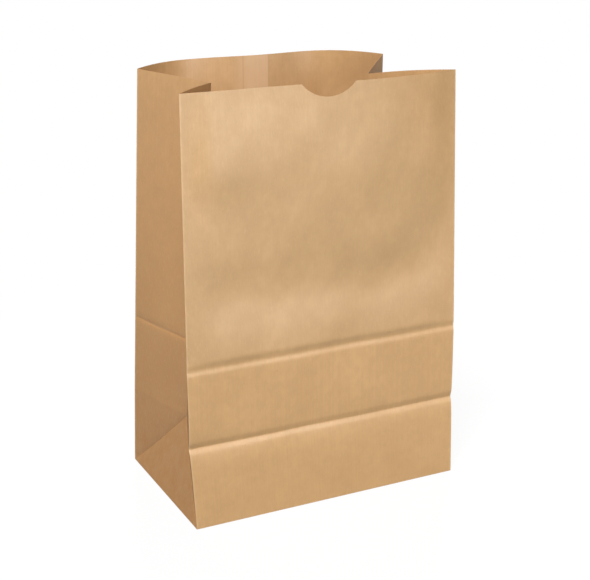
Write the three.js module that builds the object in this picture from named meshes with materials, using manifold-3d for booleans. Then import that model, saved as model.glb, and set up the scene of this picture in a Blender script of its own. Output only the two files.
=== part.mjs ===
// Brown paper bag: one sheet, seamed into a gusseted tube and folded and pasted into a square bottom.
// Millimetres, +Z up. The origin is the middle of the base, and the notched front panel faces -Y.
import * as THREE from 'three';
import { mergeVertices } from 'three/addons/utils/BufferGeometryUtils.js';
import Module from 'manifold-3d';

// Sizes of the sheet and its panels, fold to fold
const SHEET = 0.16;
const FACE_WIDTH = 304.8;
const GUSSET_WIDTH = 177.8;
const HEIGHT = 440;

// Thumb notch in the middle of the front rim, a segment of a circle
const NOTCH_WIDTH = 56;
const NOTCH_DEPTH = 13.5;

// Creases across the front, left by flat folding: how far each stands behind the base's front edge
const LOWER_CREASE_SETBACK = 4;
const UPPER_CREASE_SETBACK = 6;
const CREASE_DEPTH = 2;
const CREASE_SPREAD = 6;

// How far the lower crease lies below the point where the pleats' diagonals meet, and how far the upper one
// lies below the height of the base's whole depth
const LOWER_CREASE_SHORT = 2;
const UPPER_CREASE_SHORT = 8.5;

// How far the base's front left corner is drawn in by its paste
const FRONT_LEFT_TUCK = 4;

// How far the back folds have come forward and in where the diagonal folds of the pleats meet
const BACK_FOLD_LEAN = 5.5;
const BACK_FOLD_IN = 1.4;

// The mouth: how far each upper corner has moved in from above its base corner
const FRONT_LEFT_IN = 9;
const FRONT_LEFT_BACK = 30;
const FRONT_RIGHT_IN = -3.5;
const FRONT_RIGHT_BACK = 28;
const BACK_LEFT_IN = 17.4;
const BACK_LEFT_FORWARD = 8;
const BACK_RIGHT_IN = 14;
const BACK_RIGHT_FORWARD = 31;

// Waves of the rim out of the straight line between its corners
const FRONT_BOW = 10.5;
const FRONT_SWAY = 4.5;
const BACK_BOW = 49;
const BACK_DIP = 12;
const FRONT_BOW_RISE = 1.5;
const BACK_BOW_RISE = 1.3;

// Pasted lap that closes the tube, up the back panel
const SEAM_LAP = 32;
const SEAM_OFFSET = 4;
const SEAM_JOG = 6;
const CUT_EDGE = 0.3;

// Pasted bottom: how far the long flaps pass the middle, the set-back of a flap from the fold it turns on,
// and how far the end flaps reach in
const FLAP_LAP = 16;
const FLAP_SETBACK = 0.6;
const END_FLAP_REACH = 76;

// Fineness of the curved stretches
const NOTCH_STEPS = 10;
const FRONT_STEPS = 5;
const BACK_STEPS = 8;
const GUSSET_STEPS = 2;
const STRIP_STEPS = 2;
const UPPER_STEPS = 7;
const RIM_MARGIN = 16;

const halfFace = FACE_WIDTH / 2;
const halfGusset = GUSSET_WIDTH / 2;
// The diagonal folds run at 45 degrees, so they meet at half the base's depth; there the sack folds flat,
// which creases the front, and the base's edge then presses the upper line
const pleatApex = halfGusset;
const lowerCrease = pleatApex - LOWER_CREASE_SHORT;
const upperCrease = GUSSET_WIDTH - UPPER_CREASE_SHORT;
// The base is three layers: the outer long flap, the inner one, and the sheet that the walls turn into
const wallFoot = 2 * SHEET;
const floorTop = 3 * SHEET;

const lerp = THREE.MathUtils.lerp;
const point = (x, y) => new THREE.Vector2(x, y);

// Evenly spaced values from one to another, both included
function spaced(from, to, steps) {
  return Array.from({ length: steps + 1 }, (_, i) => lerp(from, to, i / steps));
}

// How far up from one level to another, from 0 to 1
function rise(height, from, to) {
  return THREE.MathUtils.clamp((height - from) / (to - from), 0, 1);
}

// Dent of the two front creases, sharpest on the crease itself
function creaseDent(height) {
  const nearest = Math.min(Math.abs(height - lowerCrease), Math.abs(height - upperCrease));
  return CREASE_DEPTH * Math.exp(-nearest / CREASE_SPREAD);
}

// Set-back of the front panel's fold line at a height up the sheet
function frontSetback(height, mouthSetback) {
  const lower = LOWER_CREASE_SETBACK * rise(height, 0, lowerCrease);
  const middle = (UPPER_CREASE_SETBACK - LOWER_CREASE_SETBACK) * rise(height, lowerCrease, upperCrease);
  const upper = (mouthSetback - UPPER_CREASE_SETBACK) * rise(height, upperCrease, HEIGHT);
  return lower + middle + upper + creaseDent(height);
}

// The four upright folds at a height up the sheet
function foldsAt(height) {
  const foot = rise(height, 0, pleatApex);
  const front = rise(height, upperCrease, HEIGHT);
  const back = rise(height, pleatApex, HEIGHT);
  const tuck = FRONT_LEFT_TUCK * (1 - foot);
  const lean = BACK_FOLD_LEAN * foot;
  const drawnIn = BACK_FOLD_IN * foot;
  const leftSetback = frontSetback(height, FRONT_LEFT_BACK);
  const rightSetback = frontSetback(height, FRONT_RIGHT_BACK);
  return {
    frontLeft: point(-halfFace + tuck + FRONT_LEFT_IN * front, -halfGusset + leftSetback),
    frontRight: point(halfFace - FRONT_RIGHT_IN * front, -halfGusset + rightSetback),
    backLeft: point(
      -halfFace + lerp(drawnIn, BACK_LEFT_IN, back),
      halfGusset - lerp(lean, BACK_LEFT_FORWARD, back),
    ),
    backRight: point(
      halfFace - lerp(drawnIn, BACK_RIGHT_IN, back),
      halfGusset - lerp(lean, BACK_RIGHT_FORWARD, back),
    ),
  };
}

// Point between two corners, moved out of the line between them, to the right of the way from start to end
function bowed(start, end, share, bow) {
  const along = end.clone().sub(start).normalize();
  return start.clone().lerp(end, share).add(point(along.y, -along.x).multiplyScalar(bow));
}

function frontPoint(share, height) {
  const folds = foldsAt(height);
  const growth = rise(height, upperCrease, HEIGHT) ** FRONT_BOW_RISE;
  const wave = FRONT_BOW * Math.sin(Math.PI * share) - FRONT_SWAY * Math.sin(2 * Math.PI * share);
  return bowed(folds.frontLeft, folds.frontRight, share, growth * wave);
}

function backPoint(share, height) {
  const folds = foldsAt(height);
  const growth = rise(height, 0, HEIGHT) ** BACK_BOW_RISE;
  const wave = BACK_BOW * Math.sin(Math.PI * share) + BACK_DIP * Math.sin(3 * Math.PI * share);
  return bowed(folds.backRight, folds.backLeft, share, growth * wave);
}

// How far a gusset's middle goes in, so that each half keeps its width
function gussetInset(front, back) {
  const halfOpening = Math.min(front.distanceTo(back) / 2, halfGusset);
  return Math.sqrt(halfGusset ** 2 - halfOpening ** 2);
}

// Gusset between two upright folds. Two diagonal folds run up from the base's corners with a flat triangle
// between them; above the point where they meet, the gusset is a plain V.
function gussetPoint(start, end, piece, share, height) {
  const foldsHere = foldsAt(height);
  const foldsAtApex = foldsAt(pleatApex);
  const a = foldsHere[start];
  const b = foldsHere[end];
  const level = rise(height, 0, pleatApex);
  const whole = gussetInset(a, b);
  const low = gussetInset(foldsAtApex[start], foldsAtApex[end]) * level;
  const inset = -(level < 1 ? low : whole);
  const firstDiagonal = bowed(a, b, level / 2, inset);
  const secondDiagonal = bowed(a, b, 1 - level / 2, inset);
  const corners = [a, firstDiagonal, secondDiagonal, b];
  return corners[piece].clone().lerp(corners[piece + 1], share);
}

// Height of the cut rim above the base, along the sheet, at a place across the front panel
function rimHeight(x) {
  const radius = (NOTCH_WIDTH ** 2 / 4 + NOTCH_DEPTH ** 2) / (2 * NOTCH_DEPTH);
  const within = Math.abs(x) < NOTCH_WIDTH / 2;
  const drop = within ? Math.sqrt(radius ** 2 - x ** 2) - (radius - NOTCH_DEPTH) : 0;
  return HEIGHT - drop;
}

// Heights of the rows of points, along the sheet, up to the last one below the notch
const rows = [
  ...spaced(0, lowerCrease - CREASE_SPREAD, STRIP_STEPS),
  lowerCrease,
  pleatApex,
  ...spaced(lowerCrease + CREASE_SPREAD, upperCrease - CREASE_SPREAD, STRIP_STEPS),
  upperCrease,
  ...spaced(upperCrease + CREASE_SPREAD, HEIGHT - NOTCH_DEPTH - RIM_MARGIN, UPPER_STEPS),
].sort((a, b) => a - b);

// How high a line of the sheet has climbed: it keeps its length, so it ends lower the more it leans
function climb(at, height) {
  const stops = [...rows.filter((row) => row < height), height];
  return stops.slice(1).reduce((level, stop, i) => {
    const length = stop - stops[i];
    return level + Math.sqrt(length ** 2 - at(stop).distanceToSquared(at(stops[i])));
  }, wallFoot);
}

// Upright lines of the sheet, counter-clockwise from the front left fold. Each has its place and its level
// at a height up the sheet, the height of its rim, and how far its two faces lie from the reference face.
function uprightLines() {
  const lines = [];
  const add = (at, own = {}) => {
    const plain = { level: (height) => climb(at, height), rim: HEIGHT, outer: 0, inner: -SHEET };
    lines.push({ at, ...plain, ...own });
  };
  const addFront = (x) => add((height) => frontPoint(0.5 + x / FACE_WIDTH, height), { rim: rimHeight(x) });
  const addBack = (x, faces) => add((height) => backPoint(0.5 - x / FACE_WIDTH, height), faces);

  spaced(-halfFace, -NOTCH_WIDTH / 2, FRONT_STEPS).slice(0, -1).forEach(addFront);
  spaced(-NOTCH_WIDTH / 2, NOTCH_WIDTH / 2, NOTCH_STEPS).forEach(addFront);
  spaced(NOTCH_WIDTH / 2, halfFace, FRONT_STEPS).slice(1).forEach(addFront);
  addGusset(add, 'frontRight', 'backRight');

  const outerEdge = SEAM_OFFSET + SEAM_LAP / 2;
  const innerEdge = SEAM_OFFSET - SEAM_LAP / 2;
  const besideOuterEdge = outerEdge + CUT_EDGE;
  const besideInnerEdge = innerEdge - CUT_EDGE;
  const jogEnd = innerEdge - SEAM_JOG;
  spaced(halfFace, besideOuterEdge, BACK_STEPS).forEach((x) => addBack(x));
  [outerEdge, SEAM_OFFSET, innerEdge].forEach((x) => addBack(x, { outer: SHEET }));
  addBack(besideInnerEdge, { outer: SHEET, inner: 0 });
  spaced(jogEnd, -halfFace, BACK_STEPS).forEach((x) => addBack(x));
  addGusset(add, 'backLeft', 'frontLeft');
  return lines;
}

// The lines of a gusset between its two upright folds, which belong to the panels beside it
function addGusset(add, start, end) {
  const middle = (height) => gussetPoint(start, end, 1, 0.5, height);
  const edges = [(height) => foldsAt(height)[start], middle, middle, (height) => foldsAt(height)[end]];
  for (let piece = 0; piece < 3; piece += 1) {
    for (let i = piece === 0 ? 1 : 0; i < GUSSET_STEPS; i += 1) {
      const share = i / GUSSET_STEPS;
      const at = (height) => gussetPoint(start, end, piece, share, height);
      const level = (height) => lerp(climb(edges[piece], height), climb(edges[piece + 1], height), share);
      add(at, { level });
    }
  }
}

// Outward direction at each point of a closed ring, lengthened at corners to keep the sheet's thickness
function outwardOffsets(ring) {
  const count = ring.length;
  const directionFrom = (i, step) => {
    let j = (i + step + count) % count;
    while (ring[j].distanceTo(ring[i]) < CUT_EDGE / 10) j = (j + step + count) % count;
    return ring[j].clone().sub(ring[i]).normalize().multiplyScalar(step);
  };
  return ring.map((_, i) => {
    const before = directionFrom(i, -1);
    const after = directionFrom(i, 1);
    const sum = point(before.y + after.y, -before.x - after.x);
    return sum.multiplyScalar(2 / sum.lengthSq());
  });
}

// Closed solid of the tube and its floor
function tubeGeometry() {
  const lines = uprightLines();
  const positions = [];
  const triangles = [];
  const place = (x, y, z) => positions.push(x, y, z) / 3 - 1;
  const levels = [...rows.map((row) => lines.map(() => row)), lines.map((line) => line.rim)];

  const rings = levels.map((heights, k) => {
    const ring = lines.map((line, i) => line.at(heights[i]));
    const outward = outwardOffsets(ring);
    const skin = (face) => lines.map((line, i) => {
      const { x, y } = ring[i].clone().addScaledVector(outward[i], line[face]);
      return place(x, y, face === 'inner' && k === 0 ? floorTop : line.level(heights[i]));
    });
    return { outer: skin('outer'), inner: skin('inner') };
  });

  // Both faces are split along the same diagonals, so the sheet is as thick between its lines as on them
  const quad = (a, b, c, d) => triangles.push(a, b, c, a, c, d);
  const quadBehind = (a, b, c, d) => triangles.push(a, c, b, a, d, c);
  const next = (i) => (i + 1) % lines.length;
  rings.slice(1).forEach((upper, k) => {
    const lower = rings[k];
    lines.forEach((_, i) => {
      quad(lower.outer[i], lower.outer[next(i)], upper.outer[next(i)], upper.outer[i]);
      quadBehind(lower.inner[i], lower.inner[next(i)], upper.inner[next(i)], upper.inner[i]);
    });
  });
  const rim = rings.at(-1);
  const foot = rings[0];
  const under = place(0, 0, wallFoot);
  const floor = place(0, 0, floorTop);
  lines.forEach((_, i) => {
    quad(rim.outer[i], rim.outer[next(i)], rim.inner[next(i)], rim.inner[i]);
    triangles.push(under, foot.outer[next(i)], foot.outer[i]);
    triangles.push(floor, foot.inner[i], foot.inner[next(i)]);
  });
  const geometry = new THREE.BufferGeometry();
  geometry.setAttribute('position', new THREE.Float32BufferAttribute(positions, 3));
  geometry.setIndex(triangles);
  return geometry;
}

// Pasted flap between two heights, folded in along one edge of the base and cut at 45 degrees at its ends.
// The edge runs counter-clockwise from start to end, so the flap lies to its left.
function flapGeometry(start, end, reach, bottom, top) {
  const along = end.clone().sub(start).normalize();
  const inward = point(-along.y, along.x);
  const corner = (from, turn, depth) => {
    const shift = along.clone().multiplyScalar(turn * (depth + FLAP_SETBACK));
    return from.clone().add(shift).addScaledVector(inward, depth);
  };
  const fold = [corner(start, 1, FLAP_SETBACK), corner(end, -1, FLAP_SETBACK)];
  const freeEdge = [corner(end, -1, reach), corner(start, 1, reach)];
  const outline = new THREE.Shape([...fold, ...freeEdge]);
  const geometry = new THREE.ExtrudeGeometry(outline, { depth: top - bottom, bevelEnabled: false });
  return geometry.translate(0, 0, bottom);
}

const wasm = await Module();
wasm.setup();

function toSolid(geometry) {
  const bare = geometry.clone();
  bare.deleteAttribute('normal');
  bare.deleteAttribute('uv');
  const merged = mergeVertices(bare, SHEET / 100);
  const index = merged.index.array;
  const kept = [];
  for (let i = 0; i < index.length; i += 3) {
    const [a, b, c] = index.slice(i, i + 3);
    if (a !== b && b !== c && c !== a) kept.push(a, b, c);
  }
  const mesh = new wasm.Mesh({
    numProp: 3,
    vertProperties: new Float32Array(merged.attributes.position.array),
    triVerts: new Uint32Array(kept),
  });
  return new wasm.Manifold(mesh);
}

function toGeometry(solid) {
  const mesh = solid.getMesh();
  const geometry = new THREE.BufferGeometry();
  geometry.setAttribute('position', new THREE.BufferAttribute(mesh.vertProperties, 3));
  geometry.setIndex(new THREE.BufferAttribute(mesh.triVerts, 1));
  geometry.computeVertexNormals();
  return geometry;
}

// The outer long flap closes the base over the inner one, and the end flaps lie on the floor inside
const pasteLine = (wallFoot + floorTop) / 2;
const longReach = halfGusset + FLAP_LAP;
const { frontLeft, frontRight, backRight, backLeft } = foldsAt(0);
const flaps = [
  flapGeometry(frontLeft, frontRight, longReach, 0, pasteLine),
  flapGeometry(backRight, backLeft, longReach, SHEET, pasteLine),
  flapGeometry(frontRight, backRight, END_FLAP_REACH, pasteLine, floorTop + SHEET),
  flapGeometry(backLeft, frontLeft, END_FLAP_REACH, pasteLine, floorTop + SHEET),
];
const solid = flaps.reduce((body, flap) => body.add(toSolid(flap)), toSolid(tubeGeometry()));

const brownPaper = new THREE.MeshStandardMaterial({ color: 0xc79d6c, roughness: 0.85, metalness: 0 });
const bag = new THREE.Mesh(toGeometry(solid), brownPaper);
bag.name = 'paper_bag';

const group = new THREE.Group();
group.add(bag);
export default group;
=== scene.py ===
"""Brown paper bag, standing open: the sheet as a fine mesh, its paper, and a plain studio.

The sheet is worked out in millimetres, as the part's own solid is, and turned into metres when the
mesh is made. The floor, the lamps and the camera are placed in metres.
"""
import math

import bpy
import numpy as np
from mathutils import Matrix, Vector


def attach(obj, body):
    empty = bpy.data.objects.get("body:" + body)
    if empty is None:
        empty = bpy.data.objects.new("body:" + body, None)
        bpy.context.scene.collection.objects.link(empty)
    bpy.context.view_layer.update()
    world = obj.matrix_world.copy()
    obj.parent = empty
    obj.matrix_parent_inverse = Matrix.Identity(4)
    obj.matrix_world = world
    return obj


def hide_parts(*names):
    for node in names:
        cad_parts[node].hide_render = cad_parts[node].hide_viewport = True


MM = 0.001

# The sheet and its panels, fold to fold
SHEET = 0.16
FACE_WIDTH = 304.8
GUSSET_WIDTH = 177.8
HEIGHT = 440.0
NOTCH_WIDTH = 56.0
NOTCH_DEPTH = 13.5

# Creases across the front: set-back behind the base's front edge, and how far each lies below a height
# of half the bag's depth, or of the whole of it
LOWER_CREASE_SETBACK = 4.0
UPPER_CREASE_SETBACK = 6.0
LOWER_CREASE_SHORT = 2.0
UPPER_CREASE_SHORT = 8.5

# Form of each crease: its depth, the sheet above it and below it (width of a flat facet, reach of a slow
# run-out, and the run-out's share), the rounding of the fold, and as shares of the depth how much deeper
# it is at the left than at the right, and how much shallower in the middle
LOWER_CREASE = {
    "depth": 3.3, "above": (6.5, 10.5, 0.62), "below": (5.0, 8.5, 0.75),
    "rounding": 0.8, "lean": 0.1, "dip": 0.28,
}
UPPER_CREASE = {
    "depth": 1.15, "above": (6.0, 8.0, 0.25), "below": (4.5, 6.0, 0.15),
    "rounding": 1.2, "lean": -0.1, "dip": 0.0,
}

# Grid on which a crease's profile is worked out, and the reach of the bell curve that rounds it
PROFILE_REACH = 60.0
PROFILE_STEP = 0.1
ROUNDING_REACH = 4.0

# Lines pressed into the pleats, by the base's edge across them and along their diagonal folds: depth and
# reach of the dents, the height over which the diagonals deepen, the distance from the apex over which
# they run out, and the distance from the pleats' edges over which they are held
PLEAT_LINE_DEPTH = 1.1
PLEAT_LINE_REACH = 3.2
DIAGONAL_DEPTH = 0.7
DIAGONAL_REACH = 2.0
DIAGONAL_RISE = 12.0
DIAGONAL_RUN_OUT = 4.0
DIAGONAL_HELD = 6.0

# How far the front left fold is tucked in at its foot, and the back folds' moves at the pleats' apex
FRONT_LEFT_TUCK = 4.0
BACK_FOLD_LEAN = 5.5
BACK_FOLD_IN = 1.4

# The mouth: how far each upper corner has moved in from above its base corner
FRONT_LEFT_IN = 9.0
FRONT_LEFT_BACK = 30.0
FRONT_RIGHT_IN = -3.5
FRONT_RIGHT_BACK = 28.0
BACK_LEFT_IN = 17.4
BACK_LEFT_FORWARD = 8.0
BACK_RIGHT_IN = 14.0
BACK_RIGHT_FORWARD = 31.0

# Bows of the two faces at the mouth, and the powers with which they grow up the sheet
FRONT_BOW = 10.5
FRONT_SWAY = 4.5
BACK_BOW = 49.0
BACK_DIP = 12.0
FRONT_BOW_RISE = 1.5
BACK_BOW_RISE = 1.3

# Lap seam on the back, and the flaps of the bottom
SEAM_LAP = 32.0
SEAM_OFFSET = 4.0
SEAM_JOG = 6.0
CUT_EDGE = 0.3
FLAP_LAP = 16.0
FLAP_SETBACK = 0.6
END_FLAP_REACH = 76.0

# Point in the bottom where its triangles meet, clear of the flaps' edges and of where they cross
BOTTOM_MIDDLE = (0.0, 9.0)

# Fineness of the mesh: steps across and up its stretches, distances of more rows from each crease, and
# the least gap between rows and the decimals of their heights
FACE_STEPS = 30
NOTCH_STEPS = 22
FOOT_STEPS = 24
BACK_STEPS = 32
SEAM_STEPS = 8
MIDDLE_STEPS = 16
UPPER_STEPS = 46
CREASE_ROWS = (0.7, 1.5, 2.4, 3.5, 4.8, 6.4, 8.2, 10.2)
ROW_GAP = 0.35
ROW_DIGITS = 4

# The top rows follow the notch over this many of its depths
NOTCH_DEPTHS_DRAWN = 3

# Least share of a step up the sheet that climbs, and lengths too short to matter
LEAST_CLIMB = 0.3
NEARLY_SAME = 1e-3
NEARLY_NOTHING = 1e-6

# Edges that turn by more degrees than this are shaded as folds
FOLD_ANGLE = 22

# Layer of the mesh that holds the places on the unrolled sheet
SHEET_LAYER = "sheet"

# Values that follow from the sizes above
half_face = FACE_WIDTH / 2
half_gusset = GUSSET_WIDTH / 2
pleat_apex = half_gusset
lower_crease = pleat_apex - LOWER_CREASE_SHORT
upper_crease = GUSSET_WIDTH - UPPER_CREASE_SHORT
wall_foot = 2 * SHEET
floor_top = 3 * SHEET
around_sheet = 2 * FACE_WIDTH + 2 * GUSSET_WIDTH

# Panels in their order around the bag, and where each starts on the unrolled sheet
FRONT, RIGHT, BACK, LEFT = range(4)
PANEL_STARTS = (0.0, FACE_WIDTH, FACE_WIDTH + GUSSET_WIDTH, 2 * FACE_WIDTH + GUSSET_WIDTH)

# The inside of the sheet is mapped this much higher than the outside, so that their marks differ
INSIDE_SHIFT = 1000.0

# Slack of the front panel: soft swellings, and a hollow where the size is negative. Each has its height up
# the sheet and how much higher it is at the panel's sides, its reach below and above, how much larger it
# is at the right than in the middle, the share of the panel over which the upright folds hold it, and the
# crease and the distance from it over which it rises
SWELLS = (
    {
        "height": 64.0, "bend": 0.0, "size": 0.6, "below": 40.0, "above": 10.0,
        "lean": -0.25, "held": 0.05, "crease": lower_crease, "rise": -8.0,
    },
    {
        "height": 179.0, "bend": 0.0, "size": 1.0, "below": 5.0, "above": 46.0,
        "lean": 0.0, "held": 0.12, "crease": upper_crease, "rise": 8.0,
    },
    {
        "height": 233.0, "bend": 10.0, "size": -3.4, "below": 21.0, "above": 23.0,
        "lean": 0.1, "held": 0.16, "crease": upper_crease, "rise": 8.0,
    },
    {
        "height": 365.0, "bend": 0.0, "size": 3.0, "below": 42.0, "above": 85.0,
        "lean": 0.2, "held": 0.12, "crease": upper_crease, "rise": 8.0,
    },
)

# Height over which the swellings rise from the foot
SWELL_RISE = 30.0

# Small buckle beside the left fold of the front panel: its height, its size, its reach below and above,
# and the shares of the panel at which it is largest and over which it runs out
BUCKLE = {
    "height": 361.0, "size": 2.0, "below": 14.0, "above": 30.0, "middle": 0.1, "spread": 0.12,
}

# Slow waves of the slack paper: their seed and number, the ranges of their lengths across and up and of
# their sizes, the power with which the folds hold them, and the height over which they rise from the foot
WAVE_SEED = 7
WAVE_COUNT = 16
WAVE_ACROSS = (50, 200)
WAVE_UP = (80, 320)
WAVE_SIZE = (0.03, 0.15)
WAVE_HOLD = 0.7
WAVE_RISE = 60.0

# Colours of the paper, as linear values
PAPER_DARK = (0.505, 0.303, 0.133, 1)
PAPER_LIGHT = (0.575, 0.355, 0.163, 1)
PAPER_LINE = (0.485, 0.285, 0.122, 1)
PAPER_FIBRE = (0.63, 0.41, 0.20, 1)
# Dark flecks, and the painted shadow along the lap seam's edges
PAPER_FLECK_AND_SHADOW = (0.34, 0.18, 0.075, 1)
# Pale of worn folds, which is also a painted highlight along the rounded folds and below the front creases
PAPER_WEAR_AND_HIGHLIGHT = (0.70, 0.47, 0.26, 1)
# Painted shade: a darker, richer brown low on the pleats
PAPER_SHADE_RICH = (0.44, 0.17, 0.032, 1)
# Painted light near the pleats' mouth, and a warmer tone on the back
PAPER_WARM_AND_LIT = (0.61, 0.34, 0.15, 1)
# Painted warm light on the front below its upper crease
PAPER_LOW_WARM_LIGHT = (0.70, 0.39, 0.14, 1)
# Painted light on the inside of the bag
PAPER_INSIDE_LIGHT = (0.68, 0.41, 0.20, 1)
# Paste on the inside of the lap, partly a painted sheen
PAPER_PASTE_AND_SHEEN = (0.76, 0.52, 0.32, 1)

# Noise of the paper: the grain's size in metres across and up the sheet, its detail and its roughness
GRAINS = {
    "clouds": (0.04, 0.055, 3, 0.55),
    "mottle": (0.010, 0.013, 2, 0.55),
    "lines": (0.0019, 0.3, 3, 0.55),
    "fibres": (0.0011, 0.0075, 4, 0.7),
    "flecks": (0.0016, 0.0024, 2, 0.55),
    "wear_and_highlight_patches": (0.005, 0.014, 3, 0.55),
}

# Range of the noise over which the clouds go from dark to light, and the paper's roughness at both ends
CLOUD_RANGE = (0.3, 0.7)
CLOUD_ROUGHNESS = (0.42, 0.36)

# Sheen of the paper, and the bump of its fibres, with its height in metres
SPECULAR = 0.9
BUMP_STRENGTH = 0.35
BUMP_DISTANCE = 0.00025

# Marks in the order in which they are laid on: grain, range of the noise over which the mark sets in, its
# largest share, and its colour
MARKS = (
    ("mottle", (0.35, 0.65), 0.32, PAPER_LINE),
    ("lines", (0.35, 0.65), 0.24, PAPER_LINE),
    ("fibres", (0.52, 0.75), 0.4, PAPER_FIBRE),
    ("flecks", (0.7, 0.78), 0.35, PAPER_FLECK_AND_SHADOW),
)

# Heights on the unrolled sheet, in metres, between which its outside ends and its inside begins
INSIDE_LIMITS = (0.6, 0.7)

# Soft edge of a panel's tint, to either side of the fold
TINT_EDGE = 0.5

# Shares of the panels' tints: painted light inside, painted shade and light on the pleats, a warmer tone
# on the back, and painted warm light low on the front. Then the heights in metres over which the pleats go
# from painted shade to painted light, and the distances from the upper crease over which the lower front's
# painted light runs out
INSIDE_LIGHT_SHARE = 0.35
PLEAT_SHADE_AND_LIGHT_SHARE = 0.65
BACK_SHARE = 0.45
LOW_WARM_LIGHT_SHARE = 0.36
PLEAT_SHADE_TO_LIGHT_LIMITS = (0.03, 0.43)
LOW_LIMITS = (-4.0, 12.0)

# Wear and painted highlights: the range of the noise over which they set in, with their least and largest
# strength, then the distances in metres over which they run out beside a fold (wear, and a painted
# highlight of its rounded edge) or a crease (a painted highlight on its lit facet), with their share at
# the start and end, and how far below a crease the painted highlight lies
PATCHY_WEAR_AND_HIGHLIGHT = (0.35, 0.62, 0.35, 1.0)
FOLD_WEAR_AND_HIGHLIGHT = (0.0004, 0.0021, 0.55, 0.0)
CREASE_HIGHLIGHT = (0.001, 0.0045, 0.16, 0.0)
CREASE_HIGHLIGHT_BELOW = 3.0

# Paste in the lap seam, pale on the inside as paste and painted sheen: half the width of its sharp edge,
# the distances from the lap's other edge over which it runs out, and its share. The lap's edges show as
# thin dark lines of painted shadow, and their values are given as those of the wear and highlights are
PASTE_EDGE = 0.3
PASTE_LIMITS = (-8.0, 14.0)
PASTE_AND_SHEEN_SHARE = 0.45
LAP_EDGE_SHADOW = (0.0003, 0.0010, 0.22, 0.0)

# Floor: its reach and level, what it returns of the light, to reflections and to the camera, and how much
# of it is plain white to the camera between two distances from the bag
FLOOR_REACH = 8.0
FLOOR_LEVEL = -0.0003
FLOOR_BOUNCE = 0.5
FLOOR_REFLECTED = 0.15
FLOOR_SEEN = 0.75
FLOOR_WHITE_LIMITS = (0.3, 0.7)
FLOOR_WHITE_SHARES = (0.88, 1.0)

# Lamps, with their power in watts, and the strength of the light from all around
LAMPS = {
    "key": {
        "place": (-1.23, -1.58, 3.68), "aim": (0, 0, 0.22), "width": 1.4, "height": 1.4, "power": 208,
    },
    "sheen": {
        "place": (0.95, -2.9, 0.9), "aim": (0, 0, 0.3), "width": 0.9, "height": 1.6, "power": 25,
    },
    "fill": {
        "place": (1.3, 2.6, 1.9), "aim": (0, 0, 0.22), "width": 1.4, "height": 1.4, "power": 90,
    },
}
AMBIENT = 0.1

# Camera, as fitted to the photograph's corners, creases and rim, in a frame of 590 by 580 pixels
FRAME_WIDTH = 590
FRAME_HEIGHT = 580
FOCAL_PIXELS = 1320.0
CENTRE_PIXEL = (291.3, 281.4)
CAMERA_AZIMUTH = -25.66
CAMERA_ELEVATION = 19.0
CAMERA_DISTANCE = 1.401
AIM_HEIGHT = 0.216
SENSOR_WIDTH = 36.0


# Small helpers


def rise(height, start, end):
    """How far up from one height to another, from 0 to 1."""
    return np.clip((height - start) / (end - start), 0.0, 1.0)


def bell(away, reach):
    """Bell curve, 1 at no distance, which runs out over a reach."""
    return np.exp(-0.5 * (away / reach) ** 2)


def hump(away, form):
    """Bell curve with its own reach below and above."""
    return bell(away, np.where(away > 0, form["above"], form["below"]))


def pair(x, y):
    """Points from their two coordinates."""
    return np.stack(np.broadcast_arrays(x, y), -1)


def mix(a, b, share):
    """Points at a share of the way from some points to others."""
    return a + (b - a) * np.asarray(share)[..., None]


# The four upright folds


def front_setback(height, mouth_setback):
    """How far back a front fold leans at a height: evenly to each crease, and from there to the mouth."""
    lower = LOWER_CREASE_SETBACK * rise(height, 0, lower_crease)
    middle = (UPPER_CREASE_SETBACK - LOWER_CREASE_SETBACK) * rise(height, lower_crease, upper_crease)
    upper = (mouth_setback - UPPER_CREASE_SETBACK) * rise(height, upper_crease, HEIGHT)
    return lower + middle + upper


def front_left(height):
    tuck = FRONT_LEFT_TUCK * (1 - rise(height, 0, pleat_apex))
    drift = FRONT_LEFT_IN * rise(height, upper_crease, HEIGHT)
    return pair(-half_face + tuck + drift, -half_gusset + front_setback(height, FRONT_LEFT_BACK))


def front_right(height):
    drift = FRONT_RIGHT_IN * rise(height, upper_crease, HEIGHT)
    return pair(half_face - drift, -half_gusset + front_setback(height, FRONT_RIGHT_BACK))


def back_move(height, apex_move, mouth_move):
    """How far a back fold has moved at a height, from its moves at the pleats' apex and at the mouth."""
    foot = apex_move * rise(height, 0, pleat_apex)
    return foot + (mouth_move - foot) * rise(height, pleat_apex, HEIGHT)


def back_left(height):
    drift = back_move(height, BACK_FOLD_IN, BACK_LEFT_IN)
    return pair(-half_face + drift, half_gusset - back_move(height, BACK_FOLD_LEAN, BACK_LEFT_FORWARD))


def back_right(height):
    drift = back_move(height, BACK_FOLD_IN, BACK_RIGHT_IN)
    return pair(half_face - drift, half_gusset - back_move(height, BACK_FOLD_LEAN, BACK_RIGHT_FORWARD))


# The panels between the folds


def bowed(start, end, share, bow):
    """Point between two folds, moved to the right of the way from start to end."""
    along = end - start
    along = along / np.linalg.norm(along, axis=-1, keepdims=True)
    out = np.stack([along[..., 1], -along[..., 0]], -1)
    return mix(start, end, share) + out * np.asarray(bow)[..., None]


def front_panel(across, height):
    share = across / FACE_WIDTH
    growth = rise(height, upper_crease, HEIGHT) ** FRONT_BOW_RISE
    wave = FRONT_BOW * np.sin(math.pi * share) - FRONT_SWAY * np.sin(2 * math.pi * share)
    return bowed(front_left(height), front_right(height), share, growth * wave)


def back_panel(across, height):
    share = across / FACE_WIDTH
    growth = rise(height, 0, HEIGHT) ** BACK_BOW_RISE
    wave = BACK_BOW * np.sin(math.pi * share) + BACK_DIP * np.sin(3 * math.pi * share)
    return bowed(back_right(height), back_left(height), share, growth * wave)


def gusset_inset(start, end):
    """How far a pleat's centre fold lies inside, so that both halves keep their width."""
    half_opening = np.minimum(np.linalg.norm(end - start, axis=-1) / 2, half_gusset)
    return np.sqrt(half_gusset**2 - half_opening**2)


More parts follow.
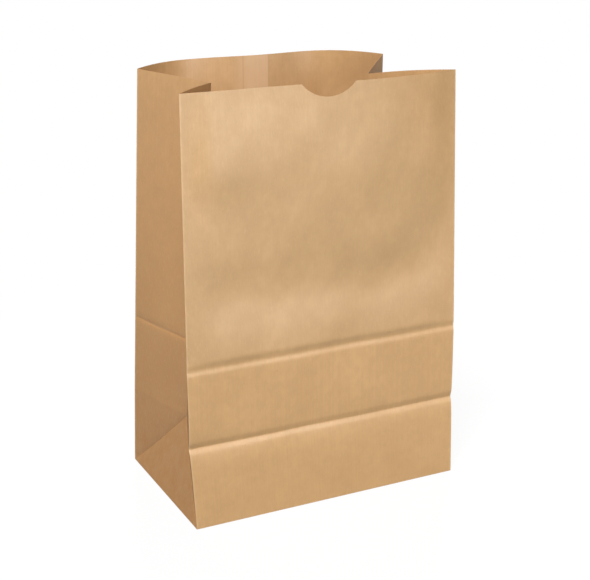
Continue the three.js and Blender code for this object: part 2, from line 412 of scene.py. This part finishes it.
def gusset_panel(start_fold, end_fold, across, height):
    """Pleated side: two diagonals run up from the base's corners and meet at the apex."""
    start = start_fold(height)
    end = end_fold(height)
    level = rise(height, 0, pleat_apex)
    apex = gusset_inset(start_fold(np.array(pleat_apex)), end_fold(np.array(pleat_apex)))
    inset = np.where(level < 1, apex * level, gusset_inset(start, end))
    first = bowed(start, end, level / 2, -inset)
    second = bowed(start, end, 1 - level / 2, -inset)
    reach = np.maximum(level * half_gusset, NEARLY_NOTHING)
    flat = np.maximum(GUSSET_WIDTH - 2 * reach, NEARLY_NOTHING)
    before = mix(start, first, np.clip(across / reach, 0, 1))
    between = mix(first, second, np.clip((across - reach) / flat, 0, 1))
    after = mix(second, end, np.clip((across - GUSSET_WIDTH + reach) / reach, 0, 1))
    is_before = (across <= reach)[..., None]
    is_after = (across >= GUSSET_WIDTH - reach)[..., None]
    return np.where(is_before, before, np.where(is_after, after, between))


# The upright lines and the rows of the mesh


def notch_rim(x):
    """Height of the front rim, which the thumb notch cuts as an arc."""
    radius = (NOTCH_WIDTH**2 / 4 + NOTCH_DEPTH**2) / (2 * NOTCH_DEPTH)
    inside = np.abs(x) < NOTCH_WIDTH / 2
    chord = np.sqrt(np.maximum(radius**2 - x**2, 0.0)) - (radius - NOTCH_DEPTH)
    return HEIGHT - np.where(inside, chord, 0.0)


def upright_lines(rows):
    """Panel, place across it, rim height and the two skins' offsets of each line, counter-clockwise.

    The pleats' lines are as far from their edges as the rows are up, so the diagonals run through
    the mesh's points.
    """
    half_notch = NOTCH_WIDTH / 2
    swing = np.linspace(-math.pi / 2, math.pi / 2, NOTCH_STEPS + 1)
    front_x = np.concatenate([
        np.linspace(-half_face, -half_notch, FACE_STEPS + 1)[:-1],
        half_notch * np.sin(swing),
        np.linspace(half_notch, half_face, FACE_STEPS + 1)[1:],
    ])
    foot = rows[(rows > 0) & (rows < pleat_apex - NEARLY_SAME)]
    side = np.concatenate([foot, [half_gusset], GUSSET_WIDTH - foot[::-1]])
    outer_edge = SEAM_OFFSET + SEAM_LAP / 2
    inner_edge = SEAM_OFFSET - SEAM_LAP / 2
    back_x = np.concatenate([
        np.linspace(half_face, outer_edge + CUT_EDGE, BACK_STEPS + 1),
        np.linspace(outer_edge, inner_edge, SEAM_STEPS + 1),
        [inner_edge - CUT_EDGE],
        np.linspace(inner_edge - SEAM_JOG, -half_face, BACK_STEPS + 1),
    ])
    lapped = (back_x <= outer_edge) & (back_x >= inner_edge - CUT_EDGE)
    panels = [front_x + half_face, side, half_face - back_x, side]
    lines = {
        "panel": np.concatenate([np.full(len(p), i) for i, p in enumerate(panels)]),
        "across": np.concatenate(panels),
        "rim": np.full(sum(len(p) for p in panels), HEIGHT),
    }
    lines["rim"][: len(front_x)] = notch_rim(front_x)
    lines["outer"] = np.zeros(len(lines["rim"]))
    lines["inner"] = np.full(len(lines["rim"]), -SHEET)
    is_back = lines["panel"] == BACK
    lines["outer"][is_back] = np.where(lapped, SHEET, 0.0)
    lines["inner"][is_back] = np.where(lapped & (back_x < inner_edge), 0.0, -SHEET)
    lines["unrolled"] = lines["across"] + np.array(PANEL_STARTS)[lines["panel"]]
    return lines


def row_heights():
    """Heights of the rows, closest at the creases."""
    offsets = np.array(CREASE_ROWS)
    near = [line + sign * offsets for line in (lower_crease, upper_crease) for sign in (-1, 1)]
    rows = np.concatenate([
        np.linspace(0, pleat_apex, FOOT_STEPS + 1),
        np.linspace(pleat_apex, upper_crease, MIDDLE_STEPS + 1),
        np.linspace(upper_crease, HEIGHT, UPPER_STEPS + 1),
        [lower_crease],
        *near,
    ])
    rows = np.unique(np.round(rows, ROW_DIGITS))
    needed = np.round((0, lower_crease, pleat_apex, upper_crease, HEIGHT), ROW_DIGITS)
    crowded = np.concatenate([[False], np.diff(rows) < ROW_GAP])
    return rows[np.isin(rows, needed) | ~crowded]


def sheet_heights(rows, rims):
    """Height up the sheet of each point: the top rows draw down to the rim, to follow the notch."""
    start = HEIGHT - NOTCH_DEPTHS_DRAWN * NOTCH_DEPTH
    pull = rise(rows, start, HEIGHT)[:, None]
    return rows[:, None] - pull * (HEIGHT - rims)[None, :]


def sheet_places(lines, heights):
    """Plan of every point of the sheet's reference face."""
    plan = np.zeros(heights.shape + (2,))
    across = np.broadcast_to(lines["across"], heights.shape)
    shapes = {
        FRONT: front_panel,
        RIGHT: lambda a, h: gusset_panel(front_right, back_right, a, h),
        BACK: back_panel,
        LEFT: lambda a, h: gusset_panel(back_left, front_left, a, h),
    }
    for panel, shape in shapes.items():
        here = lines["panel"] == panel
        plan[:, here] = shape(across[:, here], heights[:, here])
    return plan


def climb(plan, heights):
    """Level of every point: each line keeps the sheet's length, so it ends lower the more it leans."""
    length = np.diff(heights, axis=0)
    moved = np.linalg.norm(np.diff(plan, axis=0), axis=-1)
    steps = np.sqrt(np.maximum(length**2 - moved**2, (LEAST_CLIMB * length) ** 2))
    foot = np.full((1, heights.shape[1]), wall_foot)
    return np.concatenate([foot, wall_foot + np.cumsum(steps, axis=0)])


def outward_offsets(plan):
    """Outward direction in plan, lengthened at folds so that the sheet keeps its thickness."""
    after = np.roll(plan, -1, axis=1) - plan
    after = after / np.linalg.norm(after, axis=-1, keepdims=True)
    before = np.roll(after, 1, axis=1)
    both = before + after
    out = np.stack([both[..., 1], -both[..., 0]], -1)
    return out * 2 / (out**2).sum(-1, keepdims=True)


# Slack, pressed lines and creases


def slow_waves(lines, heights):
    """Slow waves over the panels, held at the folds and at the foot."""
    wide = np.isin(lines["panel"], (FRONT, BACK))
    share = lines["across"] / np.where(wide, FACE_WIDTH, GUSSET_WIDTH)
    held = np.abs(np.sin(math.pi * share)) ** WAVE_HOLD
    chance = np.random.default_rng(WAVE_SEED)
    slack = np.zeros(heights.shape)
    for _ in range(WAVE_COUNT):
        length_across = chance.uniform(*WAVE_ACROSS)
        length_up = chance.uniform(*WAVE_UP) * chance.choice((-1, 1))
        start = chance.uniform(0, 2 * math.pi)
        size = chance.uniform(*WAVE_SIZE)
        turns = lines["unrolled"] / length_across + heights / length_up
        slack += size * np.sin(2 * math.pi * turns + start)
    return slack * held * rise(heights, 0, WAVE_RISE)


def front_swells(lines, heights):
    """Soft swellings and hollows of the front panel, below its lower crease and above its upper one."""
    share = lines["across"] / FACE_WIDTH
    off_middle = 2 * share - 1
    total = np.zeros(heights.shape)
    for swell in SWELLS:
        held = np.clip(np.minimum(share, 1 - share) / swell["held"], 0, 1)
        held = held * held * (3 - 2 * held)
        away = heights - swell["height"] - swell["bend"] * off_middle**2
        side = 1 + swell["lean"] * off_middle
        start = rise(heights, swell["crease"], swell["crease"] + swell["rise"])
        total += swell["size"] * side * held * start * hump(away, swell)
    return np.where(lines["panel"] == FRONT, total * rise(heights, 0, SWELL_RISE), 0.0)


def fold_buckle(lines, heights):
    """Small bulge of the front panel beside its left fold."""
    share = lines["across"] / FACE_WIDTH
    spread = bell(share - BUCKLE["middle"], BUCKLE["spread"])
    held = np.clip(share / BUCKLE["middle"], 0, 1)
    bulge = BUCKLE["size"] * spread * held * hump(heights - BUCKLE["height"], BUCKLE)
    return np.where(lines["panel"] == FRONT, bulge, 0.0)


def dent(away, depth, reach):
    """Dent of a pressed line at a distance from it, sharpest on the line itself."""
    return depth * np.exp(-np.abs(away) / reach)


def pleat_lines(lines, heights):
    """Lines pressed into both pleats: the base's edge across them, and their diagonal folds."""
    away = heights - upper_crease - PLEAT_LINE_REACH
    pressed = dent(away, PLEAT_LINE_DEPTH, PLEAT_LINE_REACH)
    nearer_edge = np.minimum(lines["across"], GUSSET_WIDTH - lines["across"])
    diagonal = dent((nearer_edge - heights) / math.sqrt(2), DIAGONAL_DEPTH, DIAGONAL_REACH)
    run_out = rise(heights, pleat_apex + DIAGONAL_RUN_OUT, pleat_apex - DIAGONAL_RUN_OUT)
    diagonal = diagonal * rise(heights, 0, DIAGONAL_RISE) * run_out
    held = np.clip(nearer_edge / DIAGONAL_HELD, 0, 1)
    return np.where(np.isin(lines["panel"], (RIGHT, LEFT)), pressed + diagonal * held, 0.0)


def crease_side(away, facet, run_out, slow_share):
    """Share of a crease's depth at a distance to one side of it."""
    flat = np.clip(1 - away / facet, 0, 1)
    return flat + (np.exp(-away / run_out) - flat) * slow_share


def crease(away, form):
    """Dent of a front crease at a height above it: a facet and a run-out to each side, rounded."""
    grid = np.arange(-PROFILE_REACH, PROFILE_REACH, PROFILE_STEP)
    sides = [crease_side(np.abs(grid), *form[side]) for side in ("above", "below")]
    sharp = form["depth"] * np.where(grid > 0, *sides)
    near = np.arange(-ROUNDING_REACH, ROUNDING_REACH + PROFILE_STEP / 2, PROFILE_STEP)
    kernel = bell(near, form["rounding"])
    smooth = np.convolve(sharp, kernel / kernel.sum(), mode="same")
    return np.interp(away, grid, smooth)


def front_creases(lines, heights):
    """Creases of the front panel, which run out over the front half of each pleat."""
    is_front, is_right, is_back = (lines["panel"] == panel for panel in (FRONT, RIGHT, BACK))
    share = lines["across"] / GUSSET_WIDTH
    forward = np.where(is_right, 1 - share, share)
    fade = np.select([is_front, is_back], [1.0, 0.0], np.clip(2 * forward - 1, 0, 1))
    along = np.select([is_front, is_right], [lines["across"] / FACE_WIDTH, 1.0], 0.0)
    total = np.zeros(heights.shape)
    for line, form in ((lower_crease, LOWER_CREASE), (upper_crease, UPPER_CREASE)):
        strength = 1 + form["lean"] * (0.5 - along) - form["dip"] * np.sin(math.pi * along)
        total += crease(heights - line, form) * strength
    return total * fade


def relief(lines, heights):
    """How far each point stands out of the plainly folded sheet, in mm, its front creases aside."""
    slack = slow_waves(lines, heights) + front_swells(lines, heights) + fold_buckle(lines, heights)
    return slack - pleat_lines(lines, heights)


# The sheet


def sheet_skins(lines, heights):
    """Points of the sheet's outside and of its inside, row by row."""
    plan = sheet_places(lines, heights)
    level = climb(plan, heights)
    out = outward_offsets(plan)
    plan = plan + out * relief(lines, heights)[..., None]
    plan[..., 1] += front_creases(lines, heights)
    outer, inner = (
        np.concatenate([plan + out * lines[skin][None, :, None], level[..., None]], -1)
        for skin in ("outer", "inner")
    )
    inner[0, :, 2] = floor_top
    return outer, inner


def wall_triangles(lines, index, ahead):
    """Triangles of the outside, cut along the pleats' diagonals."""
    a, b, c, d = index[:-1], ahead[:-1], ahead[1:], index[1:]
    is_side = np.isin(lines["panel"], (RIGHT, LEFT))
    falling = np.broadcast_to(is_side & (lines["across"] >= half_gusset), a.shape)[..., None]
    first = np.where(falling, np.stack([a, b, d], -1), np.stack([a, b, c], -1))
    second = np.where(falling, np.stack([b, c, d], -1), np.stack([a, c, d], -1))
    return np.concatenate([first.reshape(-1, 3), second.reshape(-1, 3)])


def rim_triangles(top, top_ahead, to_inside):
    """Triangles of the cut edge at the mouth."""
    return np.concatenate([
        np.stack([top, top_ahead, top_ahead + to_inside], -1),
        np.stack([top, top_ahead + to_inside, top + to_inside], -1),
    ])


def bottom_triangles(foot, foot_ahead, to_inside):
    """Triangles of the underside and of the floor inside, around the two points after the skins'."""
    under = np.full(len(foot), 2 * to_inside)
    return np.concatenate([
        np.stack([under, foot_ahead, foot], -1),
        np.stack([under + 1, foot + to_inside, foot_ahead + to_inside], -1),
    ])


def bottom_places(points):
    """Places on the unrolled sheet of points of the bottom, which is mapped below the front panel."""
    return points[..., :2] + (half_face, -half_gusset)


def sheet_mesh():
    """Points, triangles, and the place on the unrolled sheet of each triangle's corners."""
    rows = row_heights()
    lines = upright_lines(rows)
    heights = sheet_heights(rows, lines["rim"])
    skins = [skin.reshape(-1, 3) for skin in sheet_skins(lines, heights)]
    middles = [(*BOTTOM_MIDDLE, level) for level in (wall_foot, floor_top)]
    vertices = np.concatenate([*skins, middles])

    index = np.arange(heights.size).reshape(heights.shape)
    ahead = np.roll(index, -1, axis=1)
    to_inside = heights.size
    wall = wall_triangles(lines, index, ahead)
    inside = wall[:, ::-1] + to_inside
    rim = rim_triangles(index[-1], ahead[-1], to_inside)
    bottom = bottom_triangles(index[0], ahead[0], to_inside)
    triangles = np.concatenate([wall, inside, rim, bottom])

    outside_flat = pair(lines["unrolled"], heights).reshape(-1, 2)
    inside_flat = outside_flat + (0, INSIDE_SHIFT)
    places = np.concatenate([
        outside_flat[wall],
        inside_flat[inside - to_inside],
        outside_flat[rim % to_inside],
    ])
    closing = np.ptp(places[..., 0], axis=1) > around_sheet / 2
    wrapped = closing[:, None] & (places[..., 0] < around_sheet / 2)
    places[..., 0] += np.where(wrapped, around_sheet, 0.0)
    return vertices, triangles, np.concatenate([places, bottom_places(vertices[bottom])])


# The pasted bottom


def flap_mesh(start, end, panel_start, reach, bottom, top):
    """Pasted flap on the edge of the base from start to end, cut at 45 degrees at its ends.

    On the unrolled sheet it lies below its own panel.
    """
    along = (end - start) / np.linalg.norm(end - start)
    inward = np.array((-along[1], along[0]))

    def corner(origin, turn, depth):
        return origin + along * turn * (depth + FLAP_SETBACK) + inward * depth

    outline = np.array([
        corner(start, 1, FLAP_SETBACK),
        corner(end, -1, FLAP_SETBACK),
        corner(end, -1, reach),
        corner(start, 1, reach),
    ])
    vertices = np.concatenate([np.insert(outline, 2, level, axis=1) for level in (bottom, top)])
    sides = [(i, (i + 1) % 4, (i + 1) % 4 + 4, i + 4) for i in range(4)]
    faces = [(3, 2, 1, 0), (4, 5, 6, 7), *sides]
    triangles = np.array([three for a, b, c, d in faces for three in ((a, b, c), (a, c, d))])
    from_start = vertices[triangles][..., :2] - start
    return vertices, triangles, np.stack([panel_start + from_start @ along, -(from_start @ inward)], -1)


def bottom_flaps():
    """The outer long flap closes the base over the inner one, and the end flaps lie on the floor."""
    corners = [fold(np.array(0.0)) for fold in (front_left, front_right, back_right, back_left)]
    paste_line = (wall_foot + floor_top) / 2
    long_reach = half_gusset + FLAP_LAP
    plates = (
        (long_reach, 0.0, paste_line),
        (END_FLAP_REACH, paste_line, floor_top + SHEET),
        (long_reach, SHEET, paste_line),
        (END_FLAP_REACH, paste_line, floor_top + SHEET),
    )
    return [
        flap_mesh(corners[panel], corners[(panel + 1) % 4], PANEL_STARTS[panel], *plate)
        for panel, plate in enumerate(plates)
    ]


# The piece


def make_object(name, vertices, triangles, places):
    """Mesh object in metres, with the place on the unrolled sheet of each triangle's corners."""
    mesh = bpy.data.meshes.new(name)
    mesh.from_pydata((vertices * MM).tolist(), [], triangles.tolist())
    layer = mesh.uv_layers.new(name=SHEET_LAYER)
    layer.data.foreach_set("uv", (places * MM).ravel())
    piece = bpy.data.objects.new(name, mesh)
    bpy.context.scene.collection.objects.link(piece)
    return piece


def join_solids(piece, others):
    """Make one closed body of a piece and the solids that are pasted to it."""
    for other in others:
        join = piece.modifiers.new(other.name, "BOOLEAN")
        join.operation = "UNION"
        join.solver = "MANIFOLD"
        join.object = other
    depsgraph = bpy.context.evaluated_depsgraph_get()
    joined = bpy.data.meshes.new_from_object(piece.evaluated_get(depsgraph))
    piece.modifiers.clear()
    piece.data = joined
    for other in others:
        bpy.data.objects.remove(other)


def make_bag():
    """The folded sheet and its flaps as one piece of paper."""
    bag = make_object("folded_sheet", *sheet_mesh())
    join_solids(bag, [make_object(f"flap_{i}", *flap) for i, flap in enumerate(bottom_flaps())])
    bag.data.shade_smooth()
    bag.data.set_sharp_from_angle(angle=math.radians(FOLD_ANGLE))
    bag.data.materials.clear()
    bag.data.materials.append(paper_material())
    return bag


# Nodes


class Graph:
    """Nodes of a material or the world, with short ways to make and link them."""

    def __init__(self, owner):
        owner.use_nodes = True
        self.nodes = owner.node_tree.nodes
        self.links = owner.node_tree.links
        self.nodes.clear()

    def add(self, kind):
        return self.nodes.new(f"ShaderNode{kind}")

    def feed(self, socket, value):
        """Link a socket to another node's output, or set it to a constant."""
        if isinstance(value, bpy.types.NodeSocket):
            self.links.new(value, socket)
        else:
            socket.default_value = value

    def combine(self, operation, first, second=0.0):
        """Result of a calculation with one or two values."""
        node = self.add("Math")
        node.operation = operation
        self.feed(node.inputs[0], first)
        self.feed(node.inputs[1], second)
        return node.outputs["Value"]

    def ramp(self, value, low, high, low_value=0.0, high_value=1.0):
        """Value that changes evenly between two limits, and stays level beyond them."""
        node = self.add("MapRange")
        self.feed(node.inputs["Value"], value)
        self.feed(node.inputs["From Min"], low)
        self.feed(node.inputs["From Max"], high)
        self.feed(node.inputs["To Min"], low_value)
        self.feed(node.inputs["To Max"], high_value)
        return node.outputs["Result"]

    def blend(self, share, below, above):
        """Colour with a share of another one laid over it."""
        node = self.add("Mix")
        node.data_type = "RGBA"
        self.feed(node.inputs["Factor"], share)
        self.feed(node.inputs["A"], below)
        self.feed(node.inputs["B"], above)
        return node.outputs["Result"]


class SheetGraph(Graph):
    """Nodes of a material that is drawn on the unrolled sheet."""

    def __init__(self, owner):
        super().__init__(owner)
        sheet = self.add("UVMap")
        sheet.uv_map = SHEET_LAYER
        split = self.add("SeparateXYZ")
        self.place = sheet.outputs["UV"]
        self.feed(split.inputs["Vector"], self.place)
        self.across = split.outputs["X"]
        self.up = split.outputs["Y"]

    def nearest(self, axis, places):
        """Distance along an axis of the sheet to the nearest of several places."""
        best = None
        for place in places:
            away = self.combine("ABSOLUTE", self.combine("SUBTRACT", axis, place * MM))
            best = away if best is None else self.combine("MINIMUM", best, away)
        return best

    def panels(self, centres, half_width):
        """One on the panels with the given centres, and nothing beyond them."""
        limits = [(half_width + side * TINT_EDGE) * MM for side in (-1, 1)]
        return self.ramp(self.nearest(self.across, centres), *limits, 1.0, 0.0)

    def noise(self, size_across, size_up, detail, roughness):
        """Noise with grains of the given size in metres, from 0 to 1."""
        scale = self.add("VectorMath")
        scale.operation = "MULTIPLY"
        self.feed(scale.inputs[0], self.place)
        self.feed(scale.inputs[1], (1 / size_across, 1 / size_up, 1))
        grain = self.add("TexNoise")
        grain.noise_dimensions = "2D"
        self.feed(grain.inputs["Vector"], scale.outputs["Vector"])
        self.feed(grain.inputs["Scale"], 1.0)
        self.feed(grain.inputs["Detail"], detail)
        self.feed(grain.inputs["Roughness"], roughness)
        return grain.outputs["Fac"]


# Paper


def tinted_paper(graph, clouds):
    """Two browns in clouds, lightened inside with painted light, with painted shade low on the pleats and
    painted light near their mouth, a warmer tone on the back, and painted warm light low on the front.
    """
    colour = graph.blend(graph.ramp(clouds, *CLOUD_RANGE), PAPER_DARK, PAPER_LIGHT)
    # Painted light: the inside is lightened
    inside = graph.ramp(graph.up, *INSIDE_LIMITS, 0.0, INSIDE_LIGHT_SHARE)
    colour = graph.blend(inside, colour, PAPER_INSIDE_LIGHT)
    # Painted shade low on the pleats, going over to painted light near their mouth
    pleats = graph.panels((FACE_WIDTH + half_gusset, around_sheet - half_gusset), half_gusset)
    outside = graph.ramp(graph.up, *INSIDE_LIMITS, PLEAT_SHADE_AND_LIGHT_SHARE, 0.0)
    pleat_shade_and_light = graph.blend(graph.ramp(graph.up, *PLEAT_SHADE_TO_LIGHT_LIMITS), PAPER_SHADE_RICH, PAPER_WARM_AND_LIT)
    colour = graph.blend(graph.combine("MULTIPLY", pleats, outside), colour, pleat_shade_and_light)
    back = graph.panels((PANEL_STARTS[BACK] + half_face,), half_face)
    outside = graph.ramp(graph.up, *INSIDE_LIMITS, BACK_SHARE, 0.0)
    colour = graph.blend(graph.combine("MULTIPLY", back, outside), colour, PAPER_WARM_AND_LIT)
    # Painted warm light low on the front
    front = graph.panels((half_face,), half_face)
    low_limits = [(upper_crease + distance) * MM for distance in LOW_LIMITS]
    low = graph.ramp(graph.up, *low_limits, LOW_WARM_LIGHT_SHARE, 0.0)
    return graph.blend(graph.combine("MULTIPLY", front, low), colour, PAPER_LOW_WARM_LIGHT)


def worn_and_highlit_paper(graph, colour, wear_and_highlight_patches):
    """Upright folds, pale from wear and from a painted highlight of their rounded edges, and a painted
    highlight on the lit facet below each front crease, both stronger in some places than in others.
    """
    patchy_wear_and_highlight = graph.ramp(wear_and_highlight_patches, *PATCHY_WEAR_AND_HIGHLIGHT)
    # Folds: wear plus a painted highlight of their rounded edges, uneven in patches
    folds = graph.nearest(graph.across, (*PANEL_STARTS, around_sheet))
    worn_and_lit_folds = graph.combine("MULTIPLY", patchy_wear_and_highlight, graph.ramp(folds, *FOLD_WEAR_AND_HIGHLIGHT))
    colour = graph.blend(worn_and_lit_folds, colour, PAPER_WEAR_AND_HIGHLIGHT)
    # Painted highlight: a pale band on the lit facet just below each front crease
    lines = [line - CREASE_HIGHLIGHT_BELOW for line in (lower_crease, upper_crease)]
    creases = graph.nearest(graph.up, lines)
    painted_crease_highlight = graph.combine("MULTIPLY", patchy_wear_and_highlight, graph.ramp(creases, *CREASE_HIGHLIGHT))
    front = graph.panels((half_face,), half_face)
    return graph.blend(graph.combine("MULTIPLY", front, painted_crease_highlight), colour, PAPER_WEAR_AND_HIGHLIGHT)


def lap_seam_paper(graph, colour):
    """Lap seam: pale on the inside, as paste and painted sheen, and a painted shadow as a thin dark line
    along each of its edges.
    """
    seam = PANEL_STARTS[BACK] + half_face - SEAM_OFFSET
    edges = (seam - SEAM_LAP / 2, seam + SEAM_LAP / 2)
    sharp_limits = [(edges[0] + side * PASTE_EDGE) * MM for side in (-1, 1)]
    soft_limits = [(edges[1] + distance) * MM for distance in PASTE_LIMITS]
    past_edge = graph.ramp(graph.across, *sharp_limits)
    run_out = graph.ramp(graph.across, *soft_limits, PASTE_AND_SHEEN_SHARE, 0.0)
    inside = graph.ramp(graph.up, *INSIDE_LIMITS)
    # Paste with painted sheen on the inside of the lap
    pasted = graph.combine("MULTIPLY", inside, graph.combine("MULTIPLY", past_edge, run_out))
    colour = graph.blend(pasted, colour, PAPER_PASTE_AND_SHEEN)
    # Painted shadow along each edge of the lap
    return graph.blend(graph.ramp(graph.nearest(graph.across, edges), *LAP_EDGE_SHADOW), colour, PAPER_FLECK_AND_SHADOW)


def paper_material():
    """Brown paper on the unrolled sheet's own coordinates."""
    material = bpy.data.materials.new("brown_paper")
    graph = SheetGraph(material)
    grains = {name: graph.noise(*grain) for name, grain in GRAINS.items()}
    colour = tinted_paper(graph, grains["clouds"])
    for name, limits, share, tint in MARKS:
        colour = graph.blend(graph.ramp(grains[name], *limits, 0.0, share), colour, tint)
    colour = worn_and_highlit_paper(graph, colour, grains["wear_and_highlight_patches"])
    colour = lap_seam_paper(graph, colour)

    bump = graph.add("Bump")
    bump.inputs["Strength"].default_value = BUMP_STRENGTH
    bump.inputs["Distance"].default_value = BUMP_DISTANCE
    graph.feed(bump.inputs["Height"], grains["fibres"])
    shader = graph.add("BsdfPrincipled")
    shader.inputs["Specular IOR Level"].default_value = SPECULAR
    graph.feed(shader.inputs["Base Color"], colour)
    roughness = graph.ramp(grains["clouds"], *CLOUD_RANGE, *CLOUD_ROUGHNESS)
    graph.feed(shader.inputs["Roughness"], roughness)
    graph.feed(shader.inputs["Normal"], bump.outputs["Normal"])
    output = graph.add("OutputMaterial")
    graph.feed(output.inputs["Surface"], shader.outputs["BSDF"])
    return material


# Studio


def floor_material():
    """Pale floor that the camera sees as white, apart from a share near the bag that keeps its shadow."""
    material = bpy.data.materials.new("floor_white")
    graph = Graph(material)
    path = graph.add("LightPath")
    is_camera = path.outputs["Is Camera Ray"]
    unseen = graph.ramp(path.outputs["Is Glossy Ray"], 0.0, 1.0, FLOOR_BOUNCE, FLOOR_REFLECTED)
    diffuse = graph.add("BsdfDiffuse")
    graph.feed(diffuse.inputs["Color"], graph.ramp(is_camera, 0.0, 1.0, unseen, FLOOR_SEEN))
    white = graph.add("Emission")
    white.inputs["Strength"].default_value = 1.0
    place = graph.add("TexCoord")
    away = graph.add("VectorMath")
    away.operation = "LENGTH"
    graph.feed(away.inputs[0], place.outputs["Object"])
    white_share = graph.ramp(away.outputs["Value"], *FLOOR_WHITE_LIMITS, *FLOOR_WHITE_SHARES)
    mixer = graph.add("MixShader")
    graph.feed(mixer.inputs["Fac"], graph.combine("MULTIPLY", is_camera, white_share))
    graph.feed(mixer.inputs[1], diffuse.outputs["BSDF"])
    graph.feed(mixer.inputs[2], white.outputs["Emission"])
    output = graph.add("OutputMaterial")
    graph.feed(output.inputs["Surface"], mixer.outputs["Shader"])
    return material


def make_floor():
    mesh = bpy.data.meshes.new("floor")
    turns = ((-1, -1), (1, -1), (1, 1), (-1, 1))
    corners = [(x * FLOOR_REACH, y * FLOOR_REACH, FLOOR_LEVEL) for x, y in turns]
    mesh.from_pydata(corners, [], [(0, 1, 2, 3)])
    floor = bpy.data.objects.new("floor", mesh)
    bpy.context.scene.collection.objects.link(floor)
    mesh.materials.append(floor_material())
    return floor


def area_light(name, place, aim, width, height, power):
    data = bpy.data.lights.new(name, "AREA")
    data.shape = "RECTANGLE"
    data.size = width
    data.size_y = height
    data.energy = power
    lamp = bpy.data.objects.new(name, data)
    lamp.location = place
    lamp.rotation_euler = (Vector(aim) - Vector(place)).to_track_quat("-Z", "Y").to_euler()
    bpy.context.scene.collection.objects.link(lamp)
    return lamp


def white_world(ambient):
    """World that lights the bag a little, and that the camera sees as white."""
    world = bpy.data.worlds.new("studio")
    graph = Graph(world)
    path = graph.add("LightPath")
    backdrop = graph.add("Background")
    backdrop.inputs["Color"].default_value = (1, 1, 1, 1)
    strength = graph.ramp(path.outputs["Is Camera Ray"], 0.0, 1.0, ambient, 1.0)
    graph.feed(backdrop.inputs["Strength"], strength)
    output = graph.add("OutputWorld")
    graph.feed(output.inputs["Surface"], backdrop.outputs["Background"])
    bpy.context.scene.world = world


def make_camera():
    azimuth = math.radians(CAMERA_AZIMUTH)
    elevation = math.radians(CAMERA_ELEVATION)
    back = Vector((
        math.sin(azimuth) * math.cos(elevation),
        -math.cos(azimuth) * math.cos(elevation),
        math.sin(elevation),
    ))
    data = bpy.data.cameras.new("camera")
    data.sensor_width = SENSOR_WIDTH
    data.lens = FOCAL_PIXELS / FRAME_WIDTH * SENSOR_WIDTH
    data.shift_x = (FRAME_WIDTH / 2 - CENTRE_PIXEL[0]) / FRAME_WIDTH
    data.shift_y = (CENTRE_PIXEL[1] - FRAME_HEIGHT / 2) / FRAME_WIDTH
    camera = bpy.data.objects.new("camera", data)
    camera.location = Vector((0, 0, AIM_HEIGHT)) + back * CAMERA_DISTANCE
    camera.rotation_euler = (-back).to_track_quat("-Z", "Y").to_euler()
    bpy.context.scene.collection.objects.link(camera)
    bpy.context.scene.camera = camera


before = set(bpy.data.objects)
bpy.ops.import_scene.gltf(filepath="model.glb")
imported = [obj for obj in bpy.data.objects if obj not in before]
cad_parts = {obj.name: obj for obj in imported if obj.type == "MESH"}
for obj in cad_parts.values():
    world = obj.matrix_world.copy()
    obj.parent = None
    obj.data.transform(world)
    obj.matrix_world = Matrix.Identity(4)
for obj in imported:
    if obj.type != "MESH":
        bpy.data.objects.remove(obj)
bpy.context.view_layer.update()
bpy.context.scene.view_settings.view_transform = "Standard"

bag = make_bag()
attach(bag, "root")
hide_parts("paper_bag")

make_floor()
white_world(AMBIENT)
lamps = {name: area_light(name, **lamp) for name, lamp in LAMPS.items()}
lamps["fill"].visible_glossy = False
make_camera()
